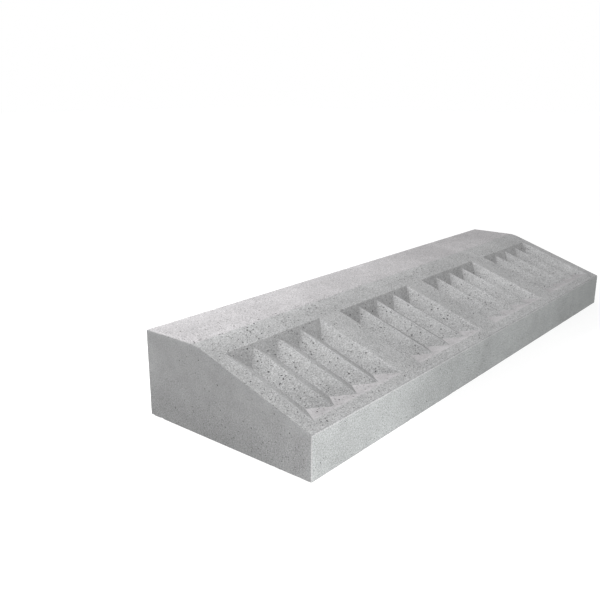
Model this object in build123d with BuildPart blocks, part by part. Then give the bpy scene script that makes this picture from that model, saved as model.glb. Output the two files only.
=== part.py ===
from build123d import *
from math import atan2, copysign, cos, radians, sin, sqrt
import os

# Precast reinforced concrete separator kerb that wheels can mount, with
# V-grooves along its sloping face that rumble under a tyre.
#
# Millimetres.  The origin is the centre of the underside.  +X runs along the
# unit, +Y points to the tall back face and +Z points up.

# ---- concrete outline ----
LENGTH = 2000.0
WIDTH = 600.0
BACK_HEIGHT = 260.0
FRONT_HEIGHT = 125.0
TOP_STRIP = 200.0  # flat strip along the back edge
CREST_RADIUS = 150.0  # soft bend between the flat strip and the slope
TOE_RADIUS = 5.0  # bend between the slope and the front face
ARRIS_RADIUS = 2.0  # every other outside edge

# ---- rumble grooves ----
GROUPS = 4
GROOVES_PER_GROUP = 4
GROUP_PITCH = 500.0
GROOVE_PITCH = 100.0
GROOVE_DEPTH = 29.0  # valley line, square to the slope
RIDGE_DROP = 5.0  # ridges between two grooves lie this far below the slope
GROOVES_TOP = 65.0  # horizontal distance from the crest to the panel
GROOVES_RUN = 300.0  # horizontal extent of the panel
HIP_RUN = 60.0  # along the slope, from the panel's end to full depth
CUTTER_MARGIN = 20.0  # how far the cutter stands above the slope

# ---- reinforcement ----
COVER = 30.0
LINK_DIAMETER = 8.0
LINK_BEND = 20.0  # centreline radius of the links' bends
LINK_SLOPE_DEPTH = 60.0  # link centreline below the slope, clear of the grooves
LINKS = 9
LINK_END_DISTANCE = 45.0  # first link's centre from the end face
BAR_DIAMETER = 10.0
BAR_END_COVER = 35.0
TIE_GAP = 0.4  # slack between a bar and the link that it is tied to
BOTTOM_BAR_OFFSETS = (-85.0, 85.0)
SLOPE_BAR_FRACTIONS = (0.30, 0.65)  # along the link's slope leg, from the toe

# ---- lifting sockets ----
SOCKET_OFFSET = 600.0  # from the middle of the unit
SOCKET_HEIGHT = 130.0
SOCKET_DIAMETER = 22.0
SOCKET_LENGTH = 75.0
THREAD_RADIUS = 7.0  # core of an M16 thread
THREAD_LENGTH = 40.0
TAIL_DIAMETER = 12.0
TAIL_CRIMP = 30.0  # length of the tail held in the socket
TAIL_WAVE = 14.0  # how far the tail swings to each side
TAIL_RUN = 55.0  # straight stretch before the first wave
TAIL_WAVE_STEPS = (30.0, 45.0, 45.0, 30.0)  # along the tail, from bend to bend
TAIL_BEND = 28.0
RECESS_DEPTH = 12.0
RECESS_MOUTH_RADIUS = 26.0
RECESS_FLOOR_RADIUS = 23.0
RING_RADIUS = 17.0
RING_THICKNESS = 3.0
RING_CLEARANCE = 0.3

# ---- plugs in the recesses ----
PLUG_INSET = 1.0  # the plug's face lies this far inside the back face
PLUG_GAP = 0.35  # between the plug's skirt and the recess
PLUG_DEPTH = 9.0
PLUG_WALL = 2.5
PLUG_CHAMFER = 1.0
PLUG_SLOT_LENGTH = 22.0
PLUG_SLOT_WIDTH = 4.0
PLUG_SLOT_DEPTH = 1.2

# ---- cover spacers ----
SKIN = 1.0  # cement skin over the spacers
SPACER_LENGTH = 40.0
SPACER_WIDTH = 25.0
SPACER_LIP = 1.0  # how far a spacer reaches past its link's centreline
TOP_SPACER_SHIFT = 5.0  # from the middle of the link's top leg, towards the crest
SADDLE_RADIUS = LINK_DIAMETER / 2 + TIE_GAP
SLOPE_SPACER_FRACTIONS = (0.15, 0.60)
WHEEL_WIDTH = 12.0
WHEEL_HUB_RADIUS = 9.0
WHEEL_RIM = 4.0
WHEEL_SPOKES = 6
SPOKE_OVERLAP = 1.0  # how far the spokes run into the hub

# ---- tie wires ----
TIE_DIAMETER = 1.4
TIE_BEND = 6.0

EMBEDDED = []  # every piece that is cast into the concrete

os.makedirs("parts", exist_ok=True)


def finish(builder, name):
    """Label a finished piece and write its STEP file."""
    builder.part.label = name
    export_step(builder.part, f"parts/{name}.step")
    return builder.part


def embed(builder, name):
    """Finish a piece that the concrete is cast around."""
    EMBEDDED.append(finish(builder, name))


# =====================================================================
# Shared geometry
# =====================================================================

slope_angle = atan2(BACK_HEIGHT - FRONT_HEIGHT, WIDTH - TOP_STRIP)
crest_y = WIDTH / 2 - TOP_STRIP
slope_out = Vector(0, -sin(slope_angle), cos(slope_angle))
slope_up = Vector(0, cos(slope_angle), sin(slope_angle))
slope_plane = Plane(origin=(0, crest_y, BACK_HEIGHT), x_dir=(1, 0, 0), z_dir=slope_out)

link_positions = [
    -LENGTH / 2 + LINK_END_DISTANCE + i * (LENGTH - 2 * LINK_END_DISTANCE) / (LINKS - 1)
    for i in range(LINKS)
]

# Corners of the link's centreline, as (y, z), from the toe round by the back.
link_inset = COVER + LINK_DIAMETER / 2
link_front = -WIDTH / 2 + link_inset
link_back = WIDTH / 2 - link_inset
link_top = BACK_HEIGHT - link_inset


def slope_leg_height(y):
    """Height of the link's slope leg above the underside."""
    surface = BACK_HEIGHT - (crest_y - y) * (BACK_HEIGHT - FRONT_HEIGHT) / (WIDTH - TOP_STRIP)
    return surface - LINK_SLOPE_DEPTH / cos(slope_angle)


def slope_leg_y(z):
    """Where the link's slope leg reaches a height."""
    rise = z - slope_leg_height(0)
    return rise * (WIDTH - TOP_STRIP) / (BACK_HEIGHT - FRONT_HEIGHT)


toe_low = Vector(link_front, link_inset)
toe_high = Vector(link_front, slope_leg_height(link_front))
crest_corner = Vector(slope_leg_y(link_top), link_top)
top_back = Vector(link_back, link_top)
bottom_back = Vector(link_back, link_inset)
link_corners = [toe_low, bottom_back, top_back, crest_corner, toe_high]


def bend_seat(before, corner, after):
    """Middle of a link's bend, and the direction from it into the cage."""
    one = (before - corner).normalized()
    other = (after - corner).normalized()
    inward = (one + other).normalized()
    half_angle = radians(one.get_angle(other) / 2)
    bend_centre = corner + inward * (LINK_BEND / sin(half_angle))
    return bend_centre - inward * LINK_BEND, inward


slope_leg = crest_corner - toe_high
slope_inward = Vector(sin(slope_angle), -cos(slope_angle))

# Where each bar crosses the links: a point on the link's centreline and the
# direction from there to the bar.
bar_seats = {
    "toe_bar": bend_seat(toe_high, toe_low, bottom_back),
    "bottom_front_bar": (Vector(BOTTOM_BAR_OFFSETS[0], link_inset), Vector(0, 1)),
    "bottom_rear_bar": (Vector(BOTTOM_BAR_OFFSETS[1], link_inset), Vector(0, 1)),
    "bottom_back_bar": bend_seat(toe_low, bottom_back, top_back),
    "top_back_bar": bend_seat(bottom_back, top_back, crest_corner),
    "crest_bar": bend_seat(top_back, crest_corner, toe_high),
    "slope_lower_bar": (toe_high + slope_leg * SLOPE_BAR_FRACTIONS[0], slope_inward),
    "slope_upper_bar": (toe_high + slope_leg * SLOPE_BAR_FRACTIONS[1], slope_inward),
}
bar_step = (LINK_DIAMETER + BAR_DIAMETER) / 2 + TIE_GAP


# =====================================================================
# Reinforcement cage
# =====================================================================


def make_bar(name, centre):
    """One straight bar that runs the length of the unit."""
    bar_length = LENGTH - 2 * BAR_END_COVER
    with BuildPart() as bar:
        with BuildSketch(Plane.YZ.offset(-bar_length / 2)):
            with Locations((centre.X, centre.Y)):
                Circle(BAR_DIAMETER / 2)
        extrude(amount=bar_length)
    embed(bar, name)


def make_link(name, x):
    """One closed, butt-welded link across the unit."""
    with BuildPart() as link:
        with BuildLine(Plane.YZ.offset(x)) as centreline:
            FilletPolyline(*[(c.X, c.Y) for c in link_corners], radius=LINK_BEND, close=True)
        with BuildSketch(Plane(origin=centreline.line @ 0, z_dir=centreline.line % 0)):
            Circle(LINK_DIAMETER / 2)
        sweep()
    embed(link, name)


def tie_loop(x, seat, inward):
    """One wire loop around a bar and a link, laid across both at 45 degrees."""
    to_bar = Vector(0, inward.X, inward.Y)
    along_link = Vector(0, -inward.Y, inward.X)
    diagonal = (Vector(1, 0, 0) + along_link).normalized()
    plane = Plane(origin=(x, seat.X, seat.Y), x_dir=diagonal, z_dir=diagonal.cross(to_bar))
    clear = TIE_GAP + TIE_DIAMETER / 2
    side = (BAR_DIAMETER / 2 + clear) * sqrt(2)
    low = -LINK_DIAMETER / 2 - clear
    high = bar_step + BAR_DIAMETER / 2 + clear
    with BuildPart() as loop:
        with BuildLine(plane) as centreline:
            FilletPolyline(
                (-side, low), (side, low), (side, high), (-side, high), radius=TIE_BEND, close=True
            )
        with BuildSketch(Plane(origin=centreline.line @ 0, z_dir=centreline.line % 0)):
            Circle(TIE_DIAMETER / 2)
        sweep()
    return loop.part


for name, (seat, inward) in bar_seats.items():
    make_bar(name, seat + inward * bar_step)

for number, x in enumerate(link_positions, start=1):
    make_link(f"link_{number}", x)

# Every other crossing is tied, staggered from link to link.
with BuildPart() as tie_wires:
    for link, x in enumerate(link_positions):
        for seat, inward in list(bar_seats.values())[link % 2 :: 2]:
            add(tie_loop(x, seat, inward))
embed(tie_wires, "tie_wires")


# =====================================================================
# Lifting sockets
# =====================================================================

recess_floor_y = WIDTH / 2 - RECESS_DEPTH
socket_end_y = recess_floor_y - SOCKET_LENGTH


def make_socket(side, x):
    """Threaded steel sleeve whose mouth is the recess floor."""
    mouth = Plane(origin=(x, recess_floor_y, SOCKET_HEIGHT), z_dir=(0, 1, 0))
    with BuildPart() as socket:
        with BuildSketch(mouth):
            Circle(SOCKET_DIAMETER / 2)
        extrude(amount=-SOCKET_LENGTH)
        with BuildSketch(mouth):
            Circle(THREAD_RADIUS)
        extrude(amount=-THREAD_LENGTH, mode=Mode.SUBTRACT)
        with BuildSketch(mouth.offset(-SOCKET_LENGTH)):
            Circle(TAIL_DIAMETER / 2)
        extrude(amount=TAIL_CRIMP, mode=Mode.SUBTRACT)
    embed(socket, f"lifting_socket_{side}")


def make_tail(side, x):
    """Waved bar, crimped into the socket, that ties it back into the block."""
    y = socket_end_y + TAIL_CRIMP
    swing = copysign(TAIL_WAVE, x)
    points = [(x, y), (x, y - TAIL_RUN)]
    for step, offset in zip(TAIL_WAVE_STEPS, (swing, -swing, swing, 0)):
        points.append((x + offset, points[-1][1] - step))
    with BuildPart() as tail:
        with BuildLine(Plane.XY.offset(SOCKET_HEIGHT)) as centreline:
            FilletPolyline(*points, radius=TAIL_BEND)
        with BuildSketch(Plane(origin=centreline.line @ 0, z_dir=centreline.line % 0)):
            Circle(TAIL_DIAMETER / 2)
        sweep()
    embed(tail, f"anchor_tail_{side}")


def make_ring(side, x):
    """Plastic ring around the socket's mouth that marks its thread size."""
    with BuildPart() as ring:
        with BuildSketch(Plane(origin=(x, recess_floor_y, SOCKET_HEIGHT), z_dir=(0, 1, 0))):
            Circle(RING_RADIUS)
            Circle(SOCKET_DIAMETER / 2 + RING_CLEARANCE, mode=Mode.SUBTRACT)
        extrude(amount=-RING_THICKNESS)
    embed(ring, f"socket_ring_{side}")


def recess_radius(depth):
    """Radius of the tapered recess at a depth below the back face."""
    taper = (RECESS_MOUTH_RADIUS - RECESS_FLOOR_RADIUS) / RECESS_DEPTH
    return RECESS_MOUTH_RADIUS - depth * taper


def make_plug(side, x):
    """Push-in plastic cap that closes the recess in front of the socket."""
    face_y = WIDTH / 2 - PLUG_INSET
    face_radius = recess_radius(PLUG_INSET) - PLUG_GAP
    skirt_radius = recess_radius(PLUG_INSET + PLUG_DEPTH) - PLUG_GAP
    face_centre = (x, face_y, SOCKET_HEIGHT)
    with BuildPart() as plug:
        with BuildSketch(Plane(origin=face_centre, x_dir=(1, 0, 0), z_dir=(0, 0, 1))):
            with BuildLine():
                Polyline(
                    (0, 0),
                    (face_radius - PLUG_CHAMFER, 0),
                    (face_radius, -PLUG_CHAMFER),
                    (skirt_radius, -PLUG_DEPTH),
                    (skirt_radius - PLUG_WALL, -PLUG_DEPTH),
                    (face_radius - PLUG_WALL - PLUG_CHAMFER, -PLUG_WALL),
                    (0, -PLUG_WALL),
                    close=True,
                )
            make_face()
        revolve(axis=Axis(face_centre, (0, 1, 0)))
        with BuildSketch(Plane(origin=face_centre, x_dir=(1, 0, 0), z_dir=(0, 1, 0))):
            SlotOverall(PLUG_SLOT_LENGTH, PLUG_SLOT_WIDTH)
        extrude(amount=-PLUG_SLOT_DEPTH, mode=Mode.SUBTRACT)
    finish(plug, f"socket_plug_{side}")


for side, x in (("left", -SOCKET_OFFSET), ("right", SOCKET_OFFSET)):
    make_socket(side, x)
    make_tail(side, x)
    make_ring(side, x)
    make_plug(side, x)


# =====================================================================
# Cover spacers
# =====================================================================


def saddle_block(seat, height):
    """Fibre concrete block that straddles a link and stands off the mould.

    The seat plane lies on the link's centreline, its X axis along the unit
    and its Z axis towards the concrete's surface.
    """
    with BuildPart() as block:
        with BuildSketch(seat.offset(-SPACER_LIP)):
            Rectangle(SPACER_LENGTH, SPACER_WIDTH)
        extrude(amount=height + SPACER_LIP)
        with BuildSketch(Plane(origin=seat.origin, x_dir=seat.x_dir, z_dir=seat.y_dir)):
            Circle(SADDLE_RADIUS)
        extrude(amount=SPACER_WIDTH, both=True, mode=Mode.SUBTRACT)
    return block.part


def wheel_spacer(x):
    """Plastic wheel clipped on a link's back leg, its rim against the mould."""
    radius = WIDTH / 2 - link_back - SKIN
    hub = Plane(origin=(x, link_back, SOCKET_HEIGHT - WHEEL_WIDTH / 2), z_dir=(0, 0, 1))
    with BuildPart() as wheel:
        with BuildSketch(hub):
            Circle(radius)
            Circle(radius - WHEEL_RIM, mode=Mode.SUBTRACT)
            Circle(WHEEL_HUB_RADIUS)
            with PolarLocations((WHEEL_HUB_RADIUS + radius) / 2 - SPOKE_OVERLAP, WHEEL_SPOKES):
                Rectangle(radius - WHEEL_HUB_RADIUS, WHEEL_RIM)
            Circle(SADDLE_RADIUS, mode=Mode.SUBTRACT)
        extrude(amount=WHEEL_WIDTH)
    return wheel.part


top_spacer_y = (crest_corner.X + link_back) / 2 - TOP_SPACER_SHIFT
with BuildPart() as top_spacers:
    for x in link_positions[1::2]:
        seat = Plane(origin=(x, top_spacer_y, link_top), x_dir=(1, 0, 0), z_dir=(0, 0, 1))
        add(saddle_block(seat, BACK_HEIGHT - link_top - SKIN))
embed(top_spacers, "top_spacers")

with BuildPart() as slope_spacers:
    for x in link_positions[2:-2:2]:
        for fraction in SLOPE_SPACER_FRACTIONS:
            point = toe_high + slope_leg * fraction
            seat = Plane(origin=(x, point.X, point.Y), x_dir=(1, 0, 0), z_dir=slope_out)
            add(saddle_block(seat, LINK_SLOPE_DEPTH - SKIN))
embed(slope_spacers, "slope_spacers")

with BuildPart() as back_spacers:
    for x in link_positions[1::2]:
        add(wheel_spacer(x))
embed(back_spacers, "back_spacers")


# =====================================================================
# Concrete
# =====================================================================

panel_width = GROOVES_PER_GROUP * GROOVE_PITCH
panel_top = GROOVES_TOP / cos(slope_angle)
panel_length = GROOVES_RUN / cos(slope_angle)


def groove_section():
    """Corrugated outline of one group, as (along the unit, out of the slope)."""
    points = [(-panel_width / 2, CUTTER_MARGIN), (-panel_width / 2, 0)]
    for groove in range(GROOVES_PER_GROUP):
        start = -panel_width / 2 + groove * GROOVE_PITCH
        points.append((start + GROOVE_PITCH / 2, -GROOVE_DEPTH))
        last = groove == GROOVES_PER_GROUP - 1
        points.append((start + GROOVE_PITCH, 0 if last else -RIDGE_DROP))
    points.append((panel_width / 2, CUTTER_MARGIN))
    return points


hip_margin = CUTTER_MARGIN * HIP_RUN / GROOVE_DEPTH
across = Plane(
    origin=slope_plane.from_local_coords((0, -panel_top + hip_margin, 0)),
    x_dir=(1, 0, 0),
    z_dir=slope_up * -1,
)
along = Plane(
    origin=slope_plane.from_local_coords((0, -panel_top, 0)),
    x_dir=slope_up * -1,
    z_dir=(-1, 0, 0),
)

with BuildPart() as groove_cutter:
    with BuildSketch(across):
        with BuildLine():
            Polyline(*groove_section(), close=True)
        make_face()
    extrude(amount=panel_length + 2 * hip_margin)
    with BuildSketch(along):
        with BuildLine():
            Polyline(
                (-hip_margin, CUTTER_MARGIN),
                (HIP_RUN, -GROOVE_DEPTH),
                (panel_length - HIP_RUN, -GROOVE_DEPTH),
                (panel_length + hip_margin, CUTTER_MARGIN),
                close=True,
            )
        make_face()
    extrude(amount=panel_width, both=True, mode=Mode.INTERSECT)

recess_mouth = Plane(origin=(0, WIDTH / 2, SOCKET_HEIGHT), z_dir=(0, 1, 0))
with BuildPart() as recess_cutter:
    with BuildSketch(recess_mouth):
        Circle(RECESS_MOUTH_RADIUS)
    with BuildSketch(recess_mouth.offset(-RECESS_DEPTH)):
        Circle(RECESS_FLOOR_RADIUS)
    loft()
    with BuildSketch(recess_mouth):
        Circle(SOCKET_DIAMETER / 2)
    extrude(amount=-RECESS_DEPTH - SOCKET_LENGTH)

with BuildPart() as concrete_body:
    with BuildSketch(Plane.YZ.offset(-LENGTH / 2)):
        with BuildLine():
            FilletPolyline(
                (-WIDTH / 2, 0),
                (WIDTH / 2, 0),
                (WIDTH / 2, BACK_HEIGHT),
                (crest_y, BACK_HEIGHT),
                (-WIDTH / 2, FRONT_HEIGHT),
                radius=[ARRIS_RADIUS, ARRIS_RADIUS, ARRIS_RADIUS, CREST_RADIUS, TOE_RADIUS],
                close=True,
            )
        make_face()
    extrude(amount=LENGTH)
    end_faces = concrete_body.faces().filter_by(Axis.X)
    fillet(end_faces.edges(), ARRIS_RADIUS)
    with GridLocations(GROUP_PITCH, 1, GROUPS, 1):
        add(groove_cutter.part, mode=Mode.SUBTRACT)
    with GridLocations(2 * SOCKET_OFFSET, 1, 2, 1):
        add(recess_cutter.part, mode=Mode.SUBTRACT)
    for piece in EMBEDDED:
        add(piece, mode=Mode.SUBTRACT)
finish(concrete_body, "concrete_body")
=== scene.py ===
import random
from math import atan2, ceil, cos, hypot, pi, radians, sin, tan

import bmesh
import bpy
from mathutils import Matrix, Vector, kdtree, noise
from mathutils.geometry import delaunay_2d_cdt


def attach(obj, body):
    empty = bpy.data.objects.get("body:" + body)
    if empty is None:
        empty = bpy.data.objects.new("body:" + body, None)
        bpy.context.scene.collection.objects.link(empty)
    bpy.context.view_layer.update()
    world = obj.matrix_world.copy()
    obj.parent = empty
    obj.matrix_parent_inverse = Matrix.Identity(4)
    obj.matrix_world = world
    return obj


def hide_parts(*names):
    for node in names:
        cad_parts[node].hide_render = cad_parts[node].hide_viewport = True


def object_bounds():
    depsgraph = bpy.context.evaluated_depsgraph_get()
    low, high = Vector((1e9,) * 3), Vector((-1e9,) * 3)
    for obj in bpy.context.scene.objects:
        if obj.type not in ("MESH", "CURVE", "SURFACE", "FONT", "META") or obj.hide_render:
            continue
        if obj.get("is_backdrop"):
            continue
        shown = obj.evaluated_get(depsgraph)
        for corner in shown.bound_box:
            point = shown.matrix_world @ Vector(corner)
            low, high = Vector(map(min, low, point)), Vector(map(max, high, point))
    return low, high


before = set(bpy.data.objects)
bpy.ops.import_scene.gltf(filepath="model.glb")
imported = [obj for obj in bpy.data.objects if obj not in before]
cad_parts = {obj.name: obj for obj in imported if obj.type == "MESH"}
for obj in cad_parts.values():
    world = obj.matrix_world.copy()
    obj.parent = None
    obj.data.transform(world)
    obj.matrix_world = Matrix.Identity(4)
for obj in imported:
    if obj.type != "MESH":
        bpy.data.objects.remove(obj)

# Looks of a mountable concrete separator kerb with rumble grooves.  The CAD
# block is plain, so one mesh of cast concrete stands for it: the same outline
# and grooves, with air holes, worn arrises and the pockets of the lifting
# sockets.  Lengths are millimetres until a mesh is made, then metres.

cad_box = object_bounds()
MM = 0.001

# ---- outline, as in the CAD ----
LENGTH, WIDTH = 2000.0, 600.0
BACK_HEIGHT, FRONT_HEIGHT = 260.0, 125.0
TOP_STRIP = 200.0
CREST_RADIUS, TOE_RADIUS, ARRIS_RADIUS = 150.0, 5.0, 2.0

# ---- grooves, as in the CAD ----
GROUP_CENTRES = (-750.0, -250.0, 250.0, 750.0)
GROOVE_PITCH, GROOVES_PER_GROUP = 100.0, 4
GROOVE_DEPTH, RIDGE_DROP = 29.0, 5.0
GROOVES_TOP, GROOVES_RUN, HIP_RUN = 65.0, 300.0, 60.0
EDGE_SOFTENING = 0.8  # half width of the rounding on the grooves' edges

# ---- lifting pockets, as in the CAD ----
POCKET_OFFSET, POCKET_HEIGHT = 600.0, 130.0
POCKET_PROFILE = (  # radius, depth below the back face
    (26.6, 0.0),
    (26.1, 0.35),
    (25.85, 1.0),
    (23.1, 11.6),
    (22.6, 12.0),
    (17.0, 12.0),
    (17.0, 15.05),
    (11.0, 15.05),
    (11.0, 87.05),
)
POCKET_SIDES = 40

# ---- how finely the skin is cut ----
STATION = 7.0  # spacing of the points along the arrises
MARGIN = 4.0  # a row of points this far inside each patch's outline
FOLD_STEP = 9.0  # spacing of the points along the grooves' folds
ARRIS_STEPS, TOE_STEPS, CREST_STEPS = 3, 5, 7
WELD = 0.02  # points of neighbouring patches closer than this become one
SHARP_ANGLE = 32.0  # degrees between two faces that make a hard edge

# ---- air holes ----
DECK_HOLES, FRONT_HOLES, BACK_HOLES, BOTTOM_HOLES, END_HOLES = 4600, 300, 320, 260, 150
FINE_HOLE = 1.1  # smaller holes have fewer sides and rings
SLOPE_HOLE = (0.85, 0.75, 3.2)  # least radius, mean of what is added to it, greatest
TOP_HOLE = (0.75, 0.45, 2.6)
SMOOTH_FACE_HOLE = (0.6, 0.35, 2.2)
HOLE_STRETCH, HOLE_WOBBLE = 0.35, 0.16  # how far from round a hole's outline is
CLUSTER_SIZE = 70.0  # how far apart the holes' clusters are
CELL = 8.0  # grid in which a hole's neighbours are looked up

# ---- chips along the arrises ----
CHIP_SPACING = 70.0
SMALL_CHIP, LARGE_CHIP = (2.5, 5.5), (6.0, 9.0)  # how far a chip reaches
SMALL_SHARE = 0.9  # share of the chips that are small
CHIP_DEPTH = (0.1, 0.26)  # as a share of the chip's reach

slope_angle = atan2(BACK_HEIGHT - FRONT_HEIGHT, WIDTH - TOP_STRIP)
crest_y = WIDTH / 2 - TOP_STRIP
rng = random.Random(4117)


# =====================================================================
# Section of the block
# =====================================================================


def arc(centre_y, centre_z, radius, start, end, steps):
    """Points of an arc of the section, as (y, z, direction of the outward normal)."""
    points = []
    for step in range(steps + 1):
        angle = radians(start + (end - start) * step / steps)
        points.append((centre_y + radius * cos(angle), centre_z + radius * sin(angle), angle))
    return points


slope_normal = 90 + slope_angle * 180 / pi
front_y, back_y = -WIDTH / 2, WIDTH / 2
toe_y = front_y + TOE_RADIUS
toe_z = BACK_HEIGHT + (sin(slope_angle) * (toe_y - crest_y) - TOE_RADIUS) / cos(slope_angle)
crest_centre_y = crest_y + CREST_RADIUS * tan(slope_angle / 2)

bottom_front = arc(front_y + ARRIS_RADIUS, ARRIS_RADIUS, ARRIS_RADIUS, 270, 180, ARRIS_STEPS)
toe = arc(toe_y, toe_z, TOE_RADIUS, 180, slope_normal, TOE_STEPS)
crest = arc(crest_centre_y, BACK_HEIGHT - CREST_RADIUS, CREST_RADIUS, slope_normal, 90, CREST_STEPS)
top_back = arc(back_y - ARRIS_RADIUS, BACK_HEIGHT - ARRIS_RADIUS, ARRIS_RADIUS, 90, 0, ARRIS_STEPS)
bottom_back = arc(back_y - ARRIS_RADIUS, ARRIS_RADIUS, ARRIS_RADIUS, 0, -90, ARRIS_STEPS)


def between(start, end):
    """Points along a flat of the section, from one arc's end to the next one's start."""
    run = hypot(end[0] - start[0], end[1] - start[1])
    count = max(2, round(run / STATION))
    return [
        (
            start[0] + (end[0] - start[0]) * step / count,
            start[1] + (end[1] - start[1]) * step / count,
            start[2],
        )
        for step in range(1, count)
    ]


front_flat = between(bottom_front[-1], toe[0])
slope_flat = between(toe[-1], crest[0])
top_flat = between(crest[-1], top_back[0])
back_flat = between(top_back[-1], bottom_back[0])
bottom_flat = between(bottom_back[-1], bottom_front[0])
section = (
    bottom_front + front_flat + toe + slope_flat + crest + top_flat
    + top_back + back_flat + bottom_back + bottom_flat
)


def inset(point, distance):
    """A section point moved in along its normal."""
    y, z, angle = point
    return y - distance * cos(angle), z - distance * sin(angle)


# =====================================================================
# Grooves
# =====================================================================


def run_through(points, value):
    """Value of a line through the points, level beyond its ends."""
    if value <= points[0][0]:
        return points[0][1]
    for (a, fa), (b, fb) in zip(points, points[1:]):
        if value <= b:
            return fa + (fb - fa) * (value - a) / (b - a)
    return points[-1][1]


def softened(points):
    """The line with each of its outward corners cut back and given a midpoint."""
    result = [points[0]]
    for before, here, after in zip(points, points[1:], points[2:]):
        slope_in = (here[1] - before[1]) / (here[0] - before[0])
        slope_out = (after[1] - here[1]) / (after[0] - here[0])
        if slope_out <= slope_in:
            result.append(here)
            continue
        low = here[1] - slope_in * EDGE_SOFTENING
        high = here[1] + slope_out * EDGE_SOFTENING
        middle = (2 * here[1] + low + high) / 4
        result += [
            (here[0] - EDGE_SOFTENING, low),
            (here[0], middle),
            (here[0] + EDGE_SOFTENING, high),
        ]
    return result + [points[-1]]


half_panel = GROOVES_PER_GROUP * GROOVE_PITCH / 2
panel_top = GROOVES_TOP / cos(slope_angle)
panel_bottom = panel_top + GROOVES_RUN / cos(slope_angle)
BEYOND = 5.0  # how far the groove outlines run out past the panel
FLOOR = GROOVE_DEPTH + 1  # the ends' outline stays just below the valleys
hip_reach = HIP_RUN * FLOOR / GROOVE_DEPTH

corrugation = [(-half_panel - BEYOND, 0.0), (-half_panel, 0.0)]
for groove in range(GROOVES_PER_GROUP):
    start = -half_panel + groove * GROOVE_PITCH
    inner = groove < GROOVES_PER_GROUP - 1
    corrugation.append((start + GROOVE_PITCH / 2, GROOVE_DEPTH))
    corrugation.append((start + GROOVE_PITCH, RIDGE_DROP if inner else 0.0))
corrugation.append((half_panel + BEYOND, 0.0))
across = softened(corrugation)
down = softened([
    (panel_top - BEYOND, 0.0),
    (panel_top, 0.0),
    (panel_top + hip_reach, FLOOR),
    (panel_bottom - hip_reach, FLOOR),
    (panel_bottom, 0.0),
    (panel_bottom + BEYOND, 0.0),
])
rising = [(depth, t) for t, depth in down if t < panel_top + HIP_RUN + BEYOND][1:]
falling = [(depth, t) for t, depth in reversed(down) if t > panel_bottom - HIP_RUN - BEYOND][1:]


def groove_depth(x, t):
    """Depth below the slope; t is the distance down the slope from the crest's corner."""
    if not panel_top - BEYOND < t < panel_bottom + BEYOND:
        return 0.0
    centre = min(GROUP_CENTRES, key=lambda c: abs(x - c))
    return min(run_through(across, x - centre), run_through(down, t))


def fold_lines(centre):
    """Every fold of one group of grooves, as lines of (x, t) points."""
    folds = across[1:-1]
    levels = [depth for depth, _ in rising if depth < RIDGE_DROP]
    ends = []
    for level in levels[1:]:
        reach = level_reach(level)
        ends += [(-reach, level), (reach, level)]
    points = sorted(folds + ends)
    lines = []
    for side in (rising, falling):
        lines.append([(centre + u, run_through(side, depth)) for u, depth in points])
        for level in levels:
            reach = level_reach(level)
            t = run_through(side, level)
            lines.append([(centre - reach, t), (centre + reach, t)])
    for u, depth in folds:
        lines.append([
            (centre + u, run_through(rising, depth)),
            (centre + u, run_through(falling, depth)),
        ])
    return lines


def level_reach(level):
    """How far from a group's middle its outermost flank is at a depth."""
    outer = [(depth, -u) for u, depth in across[1:] if u <= GROOVE_PITCH / 2 - half_panel]
    return run_through(outer, level)


# =====================================================================
# Skin
# =====================================================================


class Skin:
    """The mesh as it grows, in millimetres.  Points carry how much painted shade they get in an air
    hole and the grooves' painted shade or light; faces carry their warmth, grain and tone, the tone
    partly painted light and shade."""

    def __init__(self):
        self.points, self.faces, self.smooth = [], [], []
        self.on_points = {"pit": [], "painted_shade": []}
        self.on_faces = {"warmth": [], "grain": [], "tone": []}

    def point(self, place, pit=0.0, painted_shade=0.0):
        self.points.append(place)
        self.on_points["pit"].append(pit)
        self.on_points["painted_shade"].append(painted_shade)
        return len(self.points) - 1

    def face(self, corners, smooth, looks):
        self.faces.append(corners)
        self.smooth.append(smooth)
        for values, value in zip(self.on_faces.values(), looks):
            values.append(value)

    def strip(self, one, other, looks):
        """Quads between two rows of points."""
        for a, b, c, d in zip(one, one[1:], other[1:], other):
            self.face((a, b, c, d), True, looks)


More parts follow.
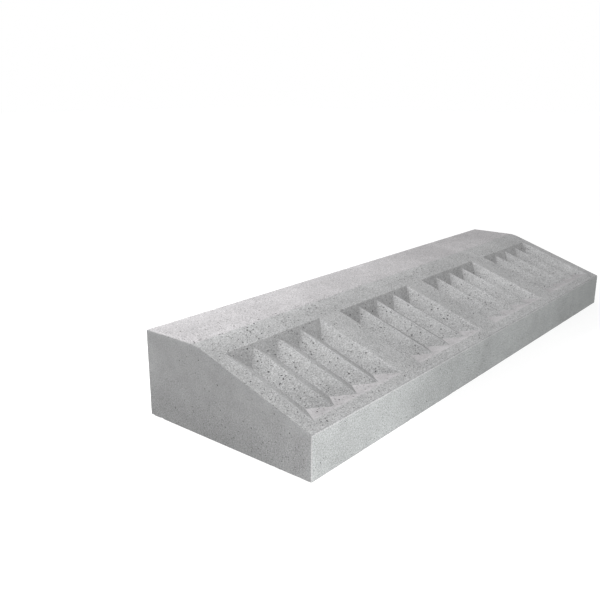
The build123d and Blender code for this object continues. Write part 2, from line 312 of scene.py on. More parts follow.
class Patch:
    """A flat or unrolled part of the skin.  Its points lie in two coordinates, and
    lift turns them into a place on the block at a depth under its surface."""

    def __init__(self, lift, looks, painted_shade=lambda a, b: 0.0):
        self.lift, self.looks, self.painted_shade = lift, looks, painted_shade
        self.flat, self.depth, self.pit, self.lines = [], [], [], []

    def add(self, a, b, depth=0.0, pit=0.0):
        self.flat.append(Vector((a, b)))
        self.depth.append(depth)
        self.pit.append(pit)
        return len(self.flat) - 1

    def chain(self, points, closed=False):
        """Points joined by edges that the cut has to keep."""
        row = [self.add(a, b) for a, b in points]
        if closed:
            row.append(row[0])
        self.lines += [(i, j) for i, j in zip(row, row[1:]) if i != j]

    def hole(self, a, b, radius):
        """One air hole, as rings of points that sink below the surface."""
        sides = 6 if radius < FINE_HOLE else 8
        stretch = 1 + HOLE_STRETCH * rng.random()
        turn = rng.random() * pi
        deep = radius * (0.75 + 0.5 * rng.random())
        # each ring is (share of the radius, share of the depth, how much painted shade it gets in
        # the hole)
        rings = [(1.0, 0.0, 0.15)] + ([(0.68, 0.72, 0.8)] if sides == 8 else [])
        wobble = [1 + rng.uniform(-HOLE_WOBBLE, HOLE_WOBBLE) for _ in range(sides)]
        for share, sunk, shade in rings:
            row = []
            for side in range(sides):
                angle = 2 * pi * side / sides
                reach = radius * share * wobble[side]
                u, v = reach * cos(angle) * stretch, reach * sin(angle) / stretch
                row.append(self.add(
                    a + u * cos(turn) - v * sin(turn),
                    b + u * sin(turn) + v * cos(turn),
                    deep * sunk,
                    shade,
                ))
            self.lines += list(zip(row, row[1:] + row[:1]))
        self.add(a, b, deep, 1.0)

    def cut(self, skin, inside=lambda a, b: True, curved=lambda a, b: False):
        """Triangulate round the points and add the result to the skin."""
        coords, _, triangles, origins, _, _ = delaunay_2d_cdt(self.flat, self.lines, [], 1, 1e-5)
        made = []
        for coord, source in zip(coords, origins):
            depth = self.depth[source[0]] if source else 0.0
            pit = self.pit[source[0]] if source else 0.0
            a, b = coord
            made.append(skin.point(self.lift(a, b, depth), pit, self.painted_shade(a, b)))
        for triangle in triangles:
            a = sum(coords[i][0] for i in triangle) / 3
            b = sum(coords[i][1] for i in triangle) / 3
            if inside(a, b):
                corners = tuple(made[i] for i in triangle)
                sunk = all(skin.on_points["pit"][i] > 0 for i in corners)
                skin.face(corners, sunk or curved(a, b), self.looks(a, b))


def hole_size(least, added, greatest):
    """A random radius: most holes are small and a few are large."""
    return min(greatest, least + rng.expovariate(1 / added))


def spread(patch, count, size, span_a, span_b, clear, seed):
    """Scatter air holes over a patch, in loose clusters."""
    taken = {}
    placed = 0
    for _ in range(count * 12):
        if placed == count:
            break
        a, b = rng.uniform(*span_a), rng.uniform(*span_b)
        cluster = noise.noise(Vector((a / CLUSTER_SIZE, b / CLUSTER_SIZE, seed)))
        if rng.random() > 0.4 + 0.9 * cluster:
            continue
        radius = size(a, b)
        cell = (int(a // CELL), int(b // CELL))
        near = [
            p for i in (-1, 0, 1) for j in (-1, 0, 1)
            for p in taken.get((cell[0] + i, cell[1] + j), [])
        ]
        if any(hypot(a - p[0], b - p[1]) < 1.5 * (radius + p[2]) + 0.5 for p in near):
            continue
        if not clear(a, b, 1.5 * radius + 0.4):
            continue
        taken.setdefault(cell, []).append((a, b, radius))
        patch.hole(a, b, radius)
        placed += 1


def divided(line, step):
    """A line with more points along it, about one a step."""
    result = [line[0]]
    for (a, b), (c, d) in zip(line, line[1:]):
        count = max(1, round(hypot(c - a, d - b) / step))
        for i in range(1, count + 1):
            result.append((a + (c - a) * i / count, b + (d - b) * i / count))
    return result


# How each face of the block looks, as (warmth, grain, tone): warmth from greenish to pinkish grey,
# grain from smooth to sandy, and tone as a share of the middle grey. The tone is partly the face's
# own and partly painted light and shade: lit and shaded faces get lighter and darker copies of one
# concrete.
# A flank is the long side of a groove, and a hip the short slope at its end.
CREST_LINE = 0.7  # share of the crest's bend that still looks like the slope
CREST_PAINTED_SHADE = 0.1  # how much darker the bend is painted towards that line, a painted shade that makes it read as a sharper fold
FOOT_SHADE_HEIGHT, FOOT_SHADE_Y = 150.0, 200.0  # how high the painted shade on the ends' feet reaches, and where towards the back it is full
TOP_LOOKS = (1.0, 0.85, 1.13)
SLOPE_LOOKS = (0.0, 1.0, 1.18)
# painted shade: the flank that faces +X and the upper hips are darker copies of the other flank and
# the lower hips
LEFT_FLANK_LOOKS = (0.0, 1.0, 1.05)
RIGHT_FLANK_LOOKS = (0.0, 1.0, 1.2)
HIGH_HIP_LOOKS = (0.0, 0.9, 1.0)
LOW_HIP_LOOKS = (1.0, 0.4, 1.15)
TOE_LOOKS = (0.0, 0.8, 0.94)
FRONT_LOOKS = (-1.0, 1.0, 0.71)
BACK_LOOKS = (-0.6, 0.7, 0.82)
END_LOOKS = (-0.05, 0.4, 0.75)
UNDER_LOOKS = (0.0, 0.8, 0.9)
ARRIS_LOOKS = (0.0, 0.6, 0.92)
END_ARRIS_LOOKS = (0.0, 0.6, 0.86)
POCKET_LOOKS = (0.0, 0.3, 0.85)

skin = Skin()
end_x = LENGTH / 2 - ARRIS_RADIUS
count = round(2 * end_x / STATION)
stations = [-end_x]
for step in range(1, count):
    stations.append(-end_x + 2 * end_x * (step + rng.uniform(-0.25, 0.25)) / count)
stations.append(end_x)

# ---- rounded arrises and toe, along the block ----
for bend in (bottom_front, toe, top_back, bottom_back):
    rows = [[skin.point(Vector((x, y, z))) for x in stations] for y, z, _ in bend]
    for one, other in zip(rows, rows[1:]):
        skin.strip(one, other, TOE_LOOKS if bend is toe else ARRIS_LOOKS)

# ---- rounded arrises round the two end faces ----
for side in (-1, 1):
    rows = []
    for step in range(ARRIS_STEPS + 1):
        turn = pi / 2 * step / ARRIS_STEPS
        x = side * (end_x + ARRIS_RADIUS * sin(turn))
        ring = [inset(p, ARRIS_RADIUS * (1 - cos(turn))) for p in section + section[:1]]
        rows.append([skin.point(Vector((x, y, z))) for y, z in ring])
    for one, other in zip(rows, rows[1:]):
        skin.strip(one, other, END_ARRIS_LOOKS)

# ---- deck: slope, crest and flat strip, unrolled ----
toe_end, crest_start, crest_end = toe[-1], crest[0], crest[-1]
slope_run = hypot(crest_start[0] - toe_end[0], crest_start[1] - toe_end[1])
crest_run = CREST_RADIUS * slope_angle
top_run = top_back[0][0] - crest_end[0]
deck_run = slope_run + crest_run + top_run
corner_v = slope_run + CREST_RADIUS * tan(slope_angle / 2)


def lift_deck(x, v, sunk):
    """Place of a point of the deck, v along its section from the toe."""
    if v <= slope_run:
        y, z = toe_end[0] + v * cos(slope_angle), toe_end[1] + v * sin(slope_angle)
        angle = toe_end[2]
        sunk += groove_depth(x, corner_v - v)
    elif v <= slope_run + crest_run:
        angle = crest_start[2] - (v - slope_run) / CREST_RADIUS
        y = crest_centre_y + CREST_RADIUS * cos(angle)
        z = BACK_HEIGHT - CREST_RADIUS + CREST_RADIUS * sin(angle)
    else:
        y, z, angle = crest_end[0] + v - slope_run - crest_run, BACK_HEIGHT, pi / 2
    y, z = inset((y, z, angle), sunk)
    return Vector((x, y, z))


def on_left_flank(u):
    """Whether a place across a group is on the side of a groove that faces +X."""
    return (u + half_panel) % GROOVE_PITCH < GROOVE_PITCH / 2


def deck_looks(x, v):
    """Looks of the deck: flat strip, bend, slope, or one side of a groove."""
    if v > slope_run:
        share = (v - slope_run) / crest_run / CREST_LINE
        if share > 1:
            return TOP_LOOKS
        # the bend darkens towards the line as painted shade
        warmth, grain, tone = SLOPE_LOOKS
        return warmth, grain, tone * (1 - CREST_PAINTED_SHADE * share)
    t = corner_v - v
    if groove_depth(x, t) < 0.1:
        return SLOPE_LOOKS
    centre = min(GROUP_CENTRES, key=lambda c: abs(x - c))
    if run_through(down, t) > run_through(across, x - centre):
        return LEFT_FLANK_LOOKS if on_left_flank(x - centre) else RIGHT_FLANK_LOOKS
    return HIGH_HIP_LOOKS if t < (panel_top + panel_bottom) / 2 else LOW_HIP_LOOKS


def share_of(value, low, high):
    """How far a value is from low to high, held between 0 and 1."""
    return min(1.0, max(0.0, (value - low) / (high - low)))


def deck_painted_shade(x, v):
    """Painted shade and light on the grooves' flanks: the shade grows down the slope and is
    strongest near the ridges, and the upper ends of the valleys go below none, as painted light."""
    t = corner_v - v
    if v > slope_run:
        return 0.0
    depth = groove_depth(x, t) / GROOVE_DEPTH
    lower = share_of(t, panel_top + 50, panel_bottom - 40)
    lower_shade = 0.5 * lower * (1.2 - depth) * share_of(depth, 0.0, RIDGE_DROP / GROOVE_DEPTH)
    upper_light = 0.45 * (1 - lower) * share_of(depth, 0.0, 0.5)
    return lower_shade - upper_light * share_of(t, panel_top + 20, panel_top + 60)


slope_v = [0.0] + [hypot(p[0] - toe_end[0], p[1] - toe_end[1]) for p in slope_flat]
crest_v = [slope_run + crest_run * step / CREST_STEPS for step in range(CREST_STEPS + 1)]
top_v = [slope_run + crest_run + p[0] - crest_end[0] for p in top_flat] + [deck_run]
deck_v = slope_v + crest_v + top_v

deck = Patch(lift_deck, deck_looks, deck_painted_shade)
deck.chain(
    [(x, 0.0) for x in stations]
    + [(end_x, v) for v in deck_v[1:]]
    + [(x, deck_run) for x in reversed(stations[:-1])]
    + [(-end_x, v) for v in reversed(deck_v[1:-1])],
    closed=True,
)
for x in stations[1:-1]:
    deck.add(x, MARGIN)
    deck.add(x, deck_run - MARGIN)
for v in deck_v[1:-1]:
    deck.add(-end_x + MARGIN, v)
    deck.add(end_x - MARGIN, v)
for v in crest_v:
    for x in stations[2:-2:2]:
        deck.add(x, v)
for centre in GROUP_CENTRES:
    for line in fold_lines(centre):
        deck.chain([(x, corner_v - t) for x, t in divided(line, FOLD_STEP)])


def deck_clear(x, v, reach):
    """Whether a disc on the deck touches no fold, edge or bend."""
    if abs(x) > end_x - MARGIN - reach or not MARGIN + reach < v < deck_run - MARGIN - reach:
        return False
    t = corner_v - v
    here = 2 * groove_depth(x, t)
    for step in range(4):
        dx, dt = reach * cos(pi * step / 4), reach * sin(pi * step / 4)
        pair = groove_depth(x + dx, t + dt) + groove_depth(x - dx, t - dt)
        if abs(pair - here) > 1e-6:
            return False
    return True


def deck_hole_size(x, v):
    return hole_size(*(TOP_HOLE if v > slope_run + crest_run else SLOPE_HOLE))


def deck_curved(x, v):
    return slope_run < v < slope_run + crest_run


spread(deck, DECK_HOLES, deck_hole_size, (-end_x, end_x), (0, deck_run), deck_clear, 0.0)
deck.cut(skin, curved=deck_curved)

# ---- upright faces and the underside ----
pockets = ((-POCKET_OFFSET, POCKET_HEIGHT), (POCKET_OFFSET, POCKET_HEIGHT))
mouth = POCKET_PROFILE[0][0]


def circle(centre, radius):
    """Points of a circle in a patch's two coordinates."""
    return [
        (centre[0] + radius * cos(2 * pi * i / POCKET_SIDES),
         centre[1] + radius * sin(2 * pi * i / POCKET_SIDES))
        for i in range(POCKET_SIDES)
    ]


def flat_patch(lift, rows, holes, size, looks, seed, openings=()):
    """A flat face the length of the block, its rows up the section."""
    patch = Patch(lift, lambda a, b: looks)
    low, high = rows[0], rows[-1]
    patch.chain(
        [(x, low) for x in stations]
        + [(end_x, v) for v in rows[1:]]
        + [(x, high) for x in reversed(stations[:-1])]
        + [(-end_x, v) for v in reversed(rows[1:-1])],
        closed=True,
    )
    step = MARGIN if high > low else -MARGIN
    for x in stations[1:-1]:
        patch.add(x, low + step)
        patch.add(x, high - step)
    for v in rows[1:-1]:
        patch.add(-end_x + MARGIN, v)
        patch.add(end_x - MARGIN, v)
    for centre in openings:
        patch.chain(circle(centre, mouth), closed=True)
    bottom, top = min(low, high), max(low, high)

    def clear(x, v, reach):
        return (
            abs(x) < end_x - MARGIN - reach
            and bottom + MARGIN + reach < v < top - MARGIN - reach
            and all(hypot(x - c[0], v - c[1]) > mouth + reach for c in openings)
        )

    def inside(x, v):
        return all(hypot(x - c[0], v - c[1]) > mouth * cos(pi / POCKET_SIDES) for c in openings)

    spread(patch, holes, size, (-end_x, end_x), (bottom, top), clear, seed)
    patch.cut(skin, inside=inside)


def small_hole(a, b):
    return hole_size(*SMOOTH_FACE_HOLE)


front_rows = [bottom_front[-1][1]] + [p[1] for p in front_flat] + [toe[0][1]]
back_rows = [top_back[-1][1]] + [p[1] for p in back_flat] + [bottom_back[0][1]]
bottom_rows = [bottom_back[-1][0]] + [p[0] for p in bottom_flat] + [bottom_front[0][0]]
flat_patch(
    lambda x, z, sunk: Vector((x, front_y + sunk, z)),
    front_rows, FRONT_HOLES, small_hole, FRONT_LOOKS, 11.0,
)
flat_patch(
    lambda x, z, sunk: Vector((x, back_y - sunk, z)),
    back_rows, BACK_HOLES, small_hole, BACK_LOOKS, 23.0, openings=pockets,
)
flat_patch(
    lambda x, y, sunk: Vector((x, y, sunk)),
    bottom_rows, BOTTOM_HOLES, small_hole, UNDER_LOOKS, 37.0,
)



def end_looks(y, z):
    """Looks of an end face: sandier along its foot, and darker towards the back of its foot as
    painted shade.
    """
    warmth, grain, tone = END_LOOKS
    foot = 1 - share_of(z, 0, FOOT_SHADE_HEIGHT)
    foot_shade = foot * share_of(y, front_y, FOOT_SHADE_Y)
    # the foot is darkened towards the back as painted shade
    return warmth, grain + 0.5 * foot, tone * (1 - 0.2 * foot_shade)


# ---- end faces ----
for side in (-1, 1):
    face = Patch(
        lambda y, z, sunk, side=side: Vector((side * (LENGTH / 2 - sunk), y, z)), end_looks,
    )
    outline = []
    for point in section:
        y, z = inset(point, ARRIS_RADIUS)
        if not outline or hypot(y - outline[-1][0], z - outline[-1][1]) > 0.01:
            outline.append((y, z))
    face.chain(outline, closed=True)
    for point in front_flat + slope_flat + top_flat + back_flat + bottom_flat:
        face.add(*inset(point, ARRIS_RADIUS + MARGIN))

    def end_clear(y, z, reach):
        under = BACK_HEIGHT - max(0.0, crest_y - y) * tan(slope_angle)
        edge = ARRIS_RADIUS + MARGIN + reach
        return (
            abs(y) < WIDTH / 2 - edge and z > edge and z < under - edge / cos(slope_angle) - 3
        )

    spread(
        face, END_HOLES, small_hole, (front_y, back_y), (0, BACK_HEIGHT), end_clear, 51.0 + side,
    )
    face.cut(skin)

# ---- pockets of the lifting sockets ----
for centre in pockets:
    rows = []
    for radius, depth in POCKET_PROFILE:
        ring = circle(centre, radius)
        row = [skin.point(Vector((x, back_y - depth, z))) for x, z in ring]
        rows.append(row + row[:1])
    for one, other in zip(rows, rows[1:]):
        skin.strip(one, other, POCKET_LOOKS)
    skin.face(tuple(rows[-1][:-1]), False, POCKET_LOOKS)


# =====================================================================
# Wear along the arrises
# =====================================================================


def arris_spots():
    """Places along the outside arrises with the direction into the block."""
    lines = [
        (Vector((-end_x, back_y, BACK_HEIGHT)), Vector((end_x, back_y, BACK_HEIGHT)), (0, -1, -1)),
        (Vector((-end_x, front_y, 0)), Vector((end_x, front_y, 0)), (0, 1, 1)),
        (Vector((-end_x, back_y, 0)), Vector((end_x, back_y, 0)), (0, -1, 1)),
    ]
    for side in (-1, 1):
        x = side * LENGTH / 2
        lines += [
            (Vector((x, front_y, 0)), Vector((x, front_y, FRONT_HEIGHT)), (-side, 1, 0)),
            (Vector((x, back_y, 0)), Vector((x, back_y, BACK_HEIGHT)), (-side, -1, 0)),
            (Vector((x, crest_y, BACK_HEIGHT)), Vector((x, back_y, BACK_HEIGHT)), (-side, 0, -1)),
            (
                Vector((x, front_y, FRONT_HEIGHT)),
                Vector((x, crest_y, BACK_HEIGHT)),
                (-side, sin(slope_angle), -cos(slope_angle)),
            ),
            (Vector((x, front_y, 0)), Vector((x, back_y, 0)), (-side, 0, 1)),
        ]
    for start, end, inward in lines:
        for _ in range(ceil((end - start).length / CHIP_SPACING)):
            yield start.lerp(end, rng.random()), Vector(inward).normalized()


def build_concrete():
    """The finished skin as one mesh in metres, its arrises chipped here and there."""
    tree = kdtree.KDTree(len(skin.points))
    for index, point in enumerate(skin.points):
        tree.insert(point, index)
    tree.balance()
    shift = {}
    for spot, inward in arris_spots():
        size = SMALL_CHIP if rng.random() < SMALL_SHARE else LARGE_CHIP
        reach = rng.uniform(*size)
        deep = reach * rng.uniform(*CHIP_DEPTH)
        for place, index, distance in tree.find_range(spot, reach):
            fall = (1 - (distance / reach) ** 2) ** 2
            move = inward * (deep * fall)
            if index not in shift or shift[index].length < move.length:
                shift[index] = move
    points = [p + shift.get(i, Vector()) for i, p in enumerate(skin.points)]

    mesh = bpy.data.meshes.new("cast_concrete")
    mesh.from_pydata([p * MM for p in points], [], skin.faces)
    for kind, sets in (("POINT", skin.on_points), ("FACE", skin.on_faces)):
        for name, values in sets.items():
            mesh.attributes.new(name, "FLOAT", kind).data.foreach_set("value", values)
    mesh.polygons.foreach_set("use_smooth", skin.smooth)

    work = bmesh.new()
    work.from_mesh(mesh)
    bmesh.ops.remove_doubles(work, verts=work.verts, dist=WELD * MM)
    bmesh.ops.recalc_face_normals(work, faces=work.faces)
    open_edges = sum(1 for e in work.edges if len(e.link_faces) != 2)
    print("concrete:", len(work.faces), "faces,", open_edges, "open edges,",
          "volume", round(work.calc_volume(), 5))
    work.to_mesh(mesh)
    work.free()
    mesh.set_sharp_from_angle(angle=radians(SHARP_ANGLE))
    block = bpy.data.objects.new("cast_concrete", mesh)
    bpy.context.scene.collection.objects.link(block)
    return block


concrete = build_concrete()
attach(concrete, "block")
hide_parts("concrete_body")


# =====================================================================
# Materials
# =====================================================================


class Finish:
    """A node material under construction, in object coordinates in metres."""

    def __init__(self, name, roughness=0.8, specular=0.3, metallic=0.0):
        self.material = bpy.data.materials.new(name)
        self.material.use_nodes = True
        self.nodes = self.material.node_tree.nodes
        self.shader = self.nodes["Principled BSDF"]
        self.set("Roughness", roughness)
        self.set("Specular IOR Level", specular)
        self.set("Metallic", metallic)
        self.place = self.nodes.new("ShaderNodeTexCoord").outputs["Object"]

    def set(self, socket, value):
        """Set a shader socket to a value, or link it to an output."""
        self.feed(self.shader.inputs[socket], value)

    def feed(self, socket, value):
        if isinstance(value, bpy.types.NodeSocket):
            self.material.node_tree.links.new(value, socket)
        else:
            socket.default_value = value

    def attribute(self, name):
        node = self.nodes.new("ShaderNodeAttribute")
        node.attribute_name = name
        return node.outputs["Fac"]

    def stretched(self, scale):
        """The coordinates scaled by three factors."""
        node = self.nodes.new("ShaderNodeMapping")
        self.feed(node.inputs["Vector"], self.place)
        node.inputs["Scale"].default_value = scale
        return node.outputs["Vector"]

    def noise(self, scale, detail=2.0, roughness=0.5, distortion=0.0, place=None):
        node = self.nodes.new("ShaderNodeTexNoise")
        self.feed(node.inputs["Vector"], place or self.place)
        node.inputs["Scale"].default_value = scale
        node.inputs["Detail"].default_value = detail
        node.inputs["Roughness"].default_value = roughness
        node.inputs["Distortion"].default_value = distortion
        return node.outputs["Fac"]

    def cells(self, scale, place=None):
        """Distance to the nearest of a scatter of points, and a random colour for each."""
        node = self.nodes.new("ShaderNodeTexVoronoi")
        self.feed(node.inputs["Vector"], place or self.place)
        node.inputs["Scale"].default_value = scale
        return node.outputs["Distance"], node.outputs["Color"]

    def math(self, operation, a, b=0.0, clamp=False):
        node = self.nodes.new("ShaderNodeMath")
        node.operation = operation
        node.use_clamp = clamp
        self.feed(node.inputs[0], a)
        self.feed(node.inputs[1], b)
        return node.outputs[0]

    def span(self, value, low, high, to_low=0.0, to_high=1.0):
        """Value carried smoothly from one range to another."""
        node = self.nodes.new("ShaderNodeMapRange")
        node.interpolation_type = "SMOOTHSTEP"
        for name, number in (
            ("Value", value), ("From Min", low), ("From Max", high),
            ("To Min", to_low), ("To Max", to_high),
        ):
            self.feed(node.inputs[name], number)
        return node.outputs["Result"]

    def blend(self, factor, one, other, how="MIX"):
        node = self.nodes.new("ShaderNodeMix")
        node.data_type = "RGBA"
        node.blend_type = how
        self.feed(node.inputs[0], factor)
        self.feed(node.inputs[6], one)
        self.feed(node.inputs[7], other)
        return node.outputs[2]

    def grey(self, value):
        node = self.nodes.new("ShaderNodeCombineColor")
        for socket in node.inputs[:3]:
            self.feed(socket, value)
        return node.outputs["Color"]

    def bump(self, height, distance, strength=1.0):
        node = self.nodes.new("ShaderNodeBump")
        node.inputs["Distance"].default_value = distance
        node.inputs["Strength"].default_value = strength
        self.feed(node.inputs["Height"], height)
        self.set("Normal", node.outputs["Normal"])


def colour(red, green, blue):
    return (red, green, blue, 1.0)


def concrete_finish():
    """Fair-faced concrete: clouds and sand speckle, with painted shade in its pinholes and air
    holes, and painted light and shade in the faces' tones and along the grooves.
    """
    f = Finish("concrete_cast", specular=0.25)
    pit, painted_shade, warmth, grain, face_tone_and_light = (
        f.attribute(name) for name in ("pit", "painted_shade", "warmth", "grain", "tone")
    )
    cloud = f.noise(3.2, 4.0, 0.6, 0.4)
    blotch = f.noise(24.0, 3.0, 0.55)
    speckle = f.noise(230.0, 3.0, 0.75)
    sand = f.noise(900.0, 1.0)
    pepper = f.span(f.noise(310.0, 1.0, 0.6, 0.3), 0.63, 0.71)
    pepper = f.math("MULTIPLY", pepper, f.span(grain, 0.2, 1.0, 0.35, 1.0))
    distance, random_cell = f.cells(105.0)
    red = f.nodes.new("ShaderNodeSeparateColor")
    f.feed(red.inputs[0], random_cell)
    size = f.span(red.outputs[0], 0.45, 1.0, 0.0, 0.2)
    gap = f.math("SUBTRACT", size, distance)
    pores = f.math("MULTIPLY", f.span(gap, -0.02, 0.06), f.math("GREATER_THAN", size, 0.01))
    pores = f.math("MULTIPLY", pores, f.span(grain, 0.2, 1.0, 0.25, 1.0))

    tone = f.span(cloud, 0.3, 0.7, 0.93, 1.07)
    tone = f.math("MULTIPLY", tone, f.span(blotch, 0.3, 0.7, 0.96, 1.04))
    spread_low = f.span(grain, 0.0, 1.0, 0.95, 0.7)
    spread_high = f.span(grain, 0.0, 1.0, 1.05, 1.3)
    tone = f.math("MULTIPLY", tone, f.span(speckle, 0.3, 0.7, spread_low, spread_high))
    tone = f.math("MULTIPLY", tone, f.span(sand, 0.3, 0.7, 0.88, 1.12))
    # the pinholes are darkened as painted shade
    tone = f.math("MULTIPLY", tone, f.span(pores, 0.0, 1.0, 1.0, 0.4))
    tone = f.math("MULTIPLY", tone, f.span(pepper, 0.0, 1.0, 1.0, 0.36))
    # the air holes' bowls are darkened here as painted shade
    tone = f.math("MULTIPLY", tone, f.span(pit, 0.0, 1.0, 1.0, 0.25))
    # painted shade darkens the grooves' flanks, and below zero it brightens them as painted light
    tone = f.math("MULTIPLY", tone, f.math("SUBTRACT", 1.0, f.math("MULTIPLY", painted_shade, 0.2)))
    # the faces' tones, partly painted light and shade
    tone = f.math("MULTIPLY", tone, face_tone_and_light)
    tint = f.blend(
        f.span(warmth, -1.0, 1.0), colour(0.412, 0.425, 0.422), colour(0.428, 0.417, 0.425),
    )
    f.set("Base Color", f.blend(1.0, tint, f.grey(tone), "MULTIPLY"))
    f.set("Roughness", f.span(speckle, 0.3, 0.7, 0.82, 0.94))
    relief = f.math("MULTIPLY", speckle, f.span(grain, 0.3, 1.0, 0.35, 1.0))
    relief = f.math("ADD", relief, f.math("MULTIPLY", sand, 0.4))
    relief = f.math("SUBTRACT", relief, f.math("MULTIPLY", pores, 1.6))
    f.bump(relief, 0.0007)
    return f.material


def rolled_steel_finish():
    """Hot rolled bar: dark mill scale with light rust coming through."""
    f = Finish("rolled_steel", specular=0.4, metallic=0.35)
    rust = f.span(f.noise(60.0, 5.0, 0.65, 0.3), 0.42, 0.62)
    grain = f.noise(700.0, 2.0)
    scale = f.blend(grain, colour(0.06, 0.055, 0.055), colour(0.12, 0.11, 0.105))
    bloom = f.blend(grain, colour(0.2, 0.085, 0.035), colour(0.32, 0.15, 0.07))
    f.set("Base Color", f.blend(rust, scale, bloom))
    f.set("Roughness", f.span(rust, 0.0, 1.0, 0.48, 0.88))
    f.bump(f.math("ADD", f.math("MULTIPLY", rust, 0.7), f.math("MULTIPLY", grain, 0.5)), 0.0002)
    return f.material


def zinc_finish():
    """Dull zinc plating with turning marks round the sleeve."""
    f = Finish("zinc_plated", specular=0.5, metallic=0.92)
    turned = f.noise(14.0, 2.0, place=f.stretched((1.0, 90.0, 1.0)))
    patch = f.noise(120.0, 3.0, 0.6)
    f.set("Base Color", f.blend(patch, colour(0.5, 0.51, 0.52), colour(0.7, 0.7, 0.68)))
    f.set("Roughness", f.span(patch, 0.3, 0.7, 0.3, 0.52))
    f.bump(turned, 0.00008)
    return f.material


def wire_finish():
    """Annealed tie wire: blue-black oxide with specks of rust."""
    f = Finish("annealed_wire", specular=0.4, metallic=0.5)
    specks = f.span(f.noise(240.0, 3.0), 0.56, 0.7)
    f.set("Base Color", f.blend(specks, colour(0.055, 0.055, 0.065), colour(0.22, 0.1, 0.05)))
    f.set("Roughness", f.span(specks, 0.0, 1.0, 0.42, 0.8))
    f.bump(specks, 0.0001)
    return f.material


def plastic_finish(name, dark, light, roughness):
    """Moulded plastic with a fine eroded texture and patches of dust."""
    f = Finish(name, specular=0.45)
    erosion = f.noise(2600.0, 2.0, 0.6)
    dust = f.span(f.noise(75.0, 4.0, 0.6), 0.45, 0.75)
    f.set("Base Color", f.blend(f.math("MULTIPLY", dust, 0.6), dark, light))
    f.set("Roughness", f.span(dust, 0.0, 1.0, roughness, roughness + 0.2))
    f.bump(erosion, 0.00006)
    return f.material


def mortar_finish():
    """Extruded fibre mortar: pale sand with short fibres along the spacer."""
    f = Finish("fibre_mortar", specular=0.2)
    sand = f.noise(800.0, 2.0, 0.6)
    fibres = f.span(f.noise(90.0, 2.0, 0.5, place=f.stretched((1.0, 14.0, 14.0))), 0.6, 0.68)
    base = f.blend(sand, colour(0.34, 0.33, 0.31), colour(0.5, 0.49, 0.46))
    f.set("Base Color", f.blend(f.math("MULTIPLY", fibres, 0.5), base, colour(0.6, 0.58, 0.52)))
    f.set("Roughness", f.span(sand, 0.3, 0.7, 0.82, 0.95))
    f.bump(f.math("ADD", sand, fibres), 0.0003)
    return f.material


finishes = {
    "concrete": concrete_finish(),
    "reinforcing_steel": rolled_steel_finish(),
    "plated_steel": zinc_finish(),
    "tie_wire": wire_finish(),
    "marker_plastic": plastic_finish(
        "red_plastic", colour(0.4, 0.035, 0.025), colour(0.5, 0.3, 0.27), 0.42),
    "plug_plastic": plastic_finish(
        "plug_plastic", colour(0.07, 0.07, 0.075), colour(0.3, 0.3, 0.29), 0.4),
    "spacer_plastic": plastic_finish(
        "spacer_plastic", colour(0.12, 0.12, 0.12), colour(0.3, 0.29, 0.28), 0.5),
    "spacer_mortar": mortar_finish(),
}
concrete.data.materials.append(finishes["concrete"])
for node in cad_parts.values():
    for slot in node.material_slots:
        slot.material = finishes[slot.material.name.split(".")[0]]


# =====================================================================
# Floor, light and camera
# =====================================================================


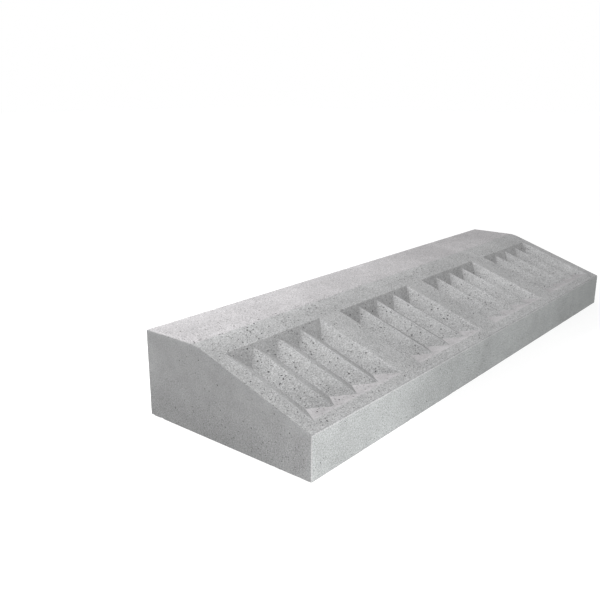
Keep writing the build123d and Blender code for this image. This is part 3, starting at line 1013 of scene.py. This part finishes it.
def stage_floor():
    """A wide pale floor that glows evenly."""
    half = 30.0
    mesh = bpy.data.meshes.new("floor")
    corners = [(-half, -half, 0), (half, -half, 0), (half, half, 0), (-half, half, 0)]
    mesh.from_pydata(corners, [], [(0, 1, 2, 3)])
    f = Finish("pale_floor", roughness=0.9, specular=0.1)
    f.set("Base Color", colour(0.4, 0.4, 0.4))
    f.set("Emission Color", colour(1.0, 1.0, 1.0))
    f.set("Emission Strength", 0.77)
    mesh.materials.append(f.material)
    floor = bpy.data.objects.new("floor", mesh)
    bpy.context.scene.collection.objects.link(floor)
    floor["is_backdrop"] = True


def soft_light(name, place, target, width, height, watts):
    """A rectangular area light that faces a point."""
    data = bpy.data.lights.new(name, "AREA")
    data.shape = "RECTANGLE"
    data.size, data.size_y = width, height
    data.energy = watts
    lamp = bpy.data.objects.new(name, data)
    lamp.location = place
    lamp.rotation_euler = (Vector(target) - Vector(place)).to_track_quat("-Z", "Y").to_euler()
    lamp.visible_camera = False
    bpy.context.scene.collection.objects.link(lamp)


# The back light is high and gives the flat strip its brightness.  The other two lie
# low in front, so that they brighten the front face and hardly reach the grooves.
stage_floor()
soft_light("back", (-1.0, 1.7, 1.5), (-0.7, 0.15, 0.2), 1.0, 1.0, 57)
soft_light("front", (-0.925, -0.65, 0.06), (-0.925, -0.3, 0.06), 0.85, 0.06, 2.25)
soft_light("front_fill", (0.0, -0.65, 0.06), (0.0, -0.3, 0.06), 1.0, 0.06, 0.6)


def studio_world(low, high):
    """A white band round the horizon under a dimmer ceiling."""
    world = bpy.data.worlds.new("studio")
    world.use_nodes = True
    nodes, links = world.node_tree.nodes, world.node_tree.links
    direction = nodes.new("ShaderNodeTexCoord").outputs["Generated"]
    split = nodes.new("ShaderNodeSeparateXYZ")
    links.new(direction, split.inputs[0])
    fade = nodes.new("ShaderNodeMapRange")
    fade.interpolation_type = "SMOOTHSTEP"
    links.new(split.outputs["Z"], fade.inputs["Value"])
    numbers = (("From Min", 0.2), ("From Max", 0.42), ("To Min", low), ("To Max", high))
    for name, number in numbers:
        fade.inputs[name].default_value = number
    background = nodes["Background"]
    background.inputs["Color"].default_value = colour(1.0, 1.0, 1.0)
    links.new(fade.outputs["Result"], background.inputs["Strength"])
    return world


world = studio_world(1.0, 0.51)
bpy.context.scene.world = world
bpy.context.scene.view_settings.view_transform = "Standard"

camera_place = Vector((-2.193, -1.261, 0.903))
camera_aim = Vector((0.7369, 0.6158, -0.2789))
lens = bpy.data.cameras.new("camera")
lens.lens = 43.08
lens.sensor_width = 36.0
camera = bpy.data.objects.new("camera", lens)
camera.location = camera_place
camera.rotation_euler = camera_aim.to_track_quat("-Z", "Y").to_euler()
bpy.context.scene.collection.objects.link(camera)
bpy.context.scene.camera = camera

boxes = {"cad": cad_box, "visual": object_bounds()}
{k: [list(map(float, corner)) for corner in box] for k, box in boxes.items()}
